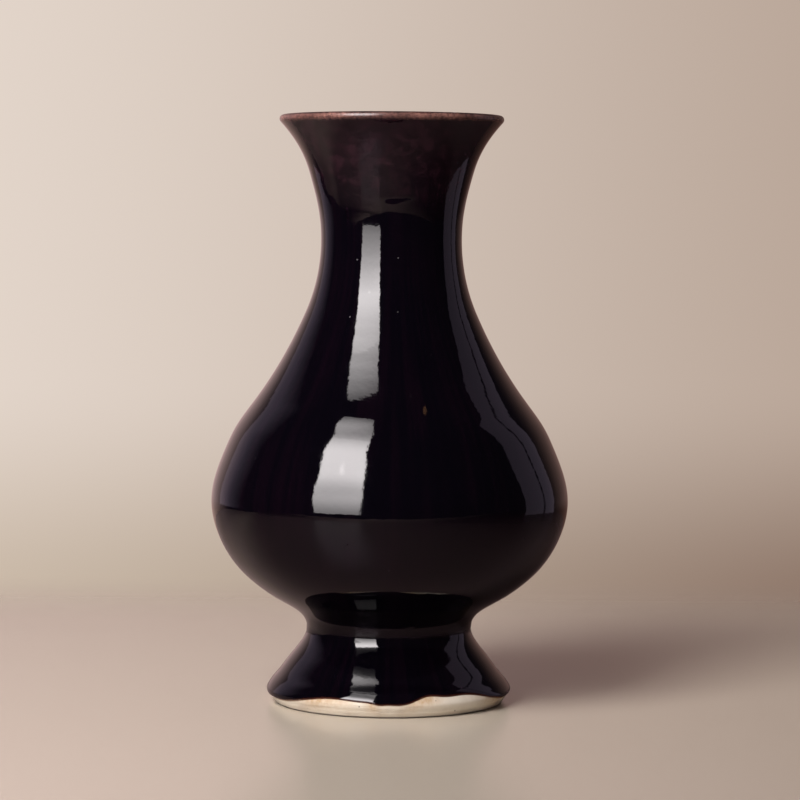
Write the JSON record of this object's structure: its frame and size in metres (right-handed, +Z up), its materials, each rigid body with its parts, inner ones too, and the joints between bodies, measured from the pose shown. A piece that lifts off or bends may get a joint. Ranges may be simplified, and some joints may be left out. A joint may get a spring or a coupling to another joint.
{
  "type": "vase",
  "caption": "Pear-shaped porcelain vase with a trumpet mouth, slender neck, full low belly and high splayed foot, in a glossy near-black purple glaze over a bare foot rim; it holds flowers.",
  "frame": {"origin": "on the vase's axis, in the plane of the foot rim that rests on the table", "axes": "+Z up along the axis that the vase is turned about; -Y is the side the picture shows and +X is to its right"},
  "size_m": [0.1826, 0.1826, 0.3],
  "materials": {
    "porcelain": "bare fired biscuit, matt cream with ochre flashes by the glaze",
    "fired_slip": "bare fired slip, matt cream",
    "aubergine_glaze": "glossy near-black purple glaze, thinning to russet at the lip",
    "lining_glaze": "glossy dark purple-brown glaze, a little thinner than outside"
  },
  "bodies": {
    "root": {"foot_ring": "porcelain", "lower_bowl": "porcelain", "shoulder_section": "porcelain", "neck_section": "porcelain", "foot_luting": "fired_slip", "belly_luting": "fired_slip", "neck_luting": "fired_slip", "outer_glaze": "aubergine_glaze", "inner_glaze": "lining_glaze", "base_glaze": "lining_glaze"}
  },
  "joints": []
}
